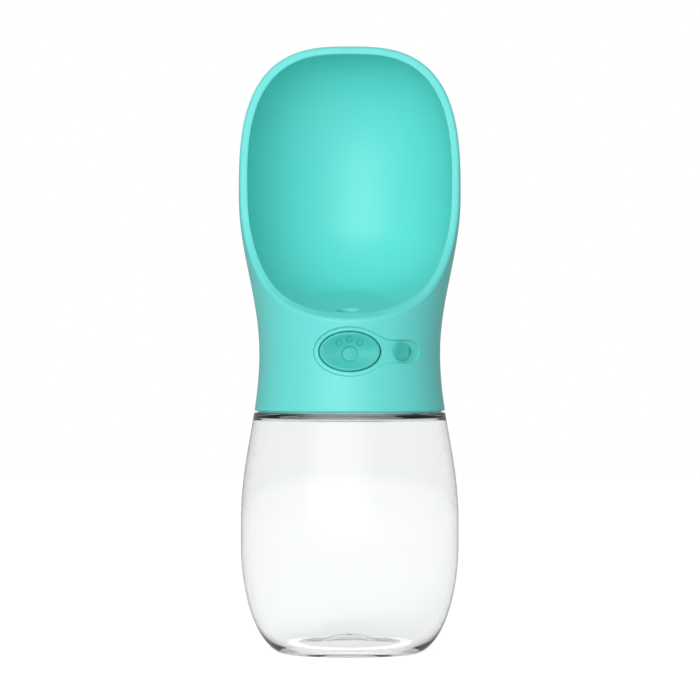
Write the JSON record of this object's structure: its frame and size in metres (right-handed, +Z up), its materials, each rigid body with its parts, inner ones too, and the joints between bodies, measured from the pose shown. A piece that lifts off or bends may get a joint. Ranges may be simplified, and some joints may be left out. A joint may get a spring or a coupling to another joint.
{
  "type": "dog travel water bottle",
  "caption": "Clear bottle with a screw-on scoop head: an oval push button opens a sprung valve that feeds the drinking trough, and a sliding lock knob sits beside it.",
  "frame": {"origin": "centre of the foot ring's underside, on the bottle's axis", "axes": "+Z up along the bottle's axis, -Y towards the front where the button is, +X to the right as seen from the front"},
  "size_m": [0.0768, 0.0761, 0.21],
  "materials": {
    "clear_plastic": "clear, polished",
    "teal_plastic": "satin gloss",
    "dark_teal_plastic": "satin gloss",
    "white_plastic": "satin",
    "silicone": "matt, translucent white",
    "steel": "drawn wire and turned rod"
  },
  "bodies": {
    "bottle": {"bottle": "clear_plastic"},
    "neck_seal": {"neck_seal": "silicone"},
    "head": {"neck_collar": "white_plastic", "air_valve": "silicone", "head_shell": "teal_plastic", "inlet_seal": "silicone", "valve_body": "white_plastic", "valve_end_cap": "white_plastic", "end_cap_oring": "silicone", "stem_gland": "white_plastic", "stem_oring": "silicone", "valve_spring": "steel", "outlet_duct": "white_plastic", "outlet_gasket": "silicone", "valve_screws": "steel"},
    "button": {"button_cap": "dark_teal_plastic", "valve_stem": "steel", "poppet_seal": "silicone", "poppet_retainer": "white_plastic"},
    "lock": {"lock_knob": "dark_teal_plastic", "lock_plate": "white_plastic", "lock_clip": "steel"}
  },
  "joints": [
    {"name": "head_lift", "type": "slide", "parent": "bottle", "child": "neck_seal", "axis": [0, 0, 1], "range_m": [0, 0.012]},
    {"name": "head_turn", "type": "hinge", "parent": "neck_seal", "child": "head", "pos_m": [0, 0, 0.087], "axis": [0, 0, 1], "range_deg": [0, 720]},
    {"name": "button_press", "type": "slide", "parent": "head", "child": "button", "axis": [0, 1, 0], "range_m": [0, 0.004], "stiffness_N_per_m": 400, "springref_m": -0.005, "deforming": ["valve_spring"]},
    {"name": "lock_slide", "type": "hinge", "parent": "head", "child": "lock", "pos_m": [0, 0, 0.1043], "axis": [0, 0, 1], "range_deg": [0, 6.2]}
  ],
  "couplings": [
    {"joint": "head_lift", "follows": "head_turn", "m_per_rad": 0.00095}
  ]
}
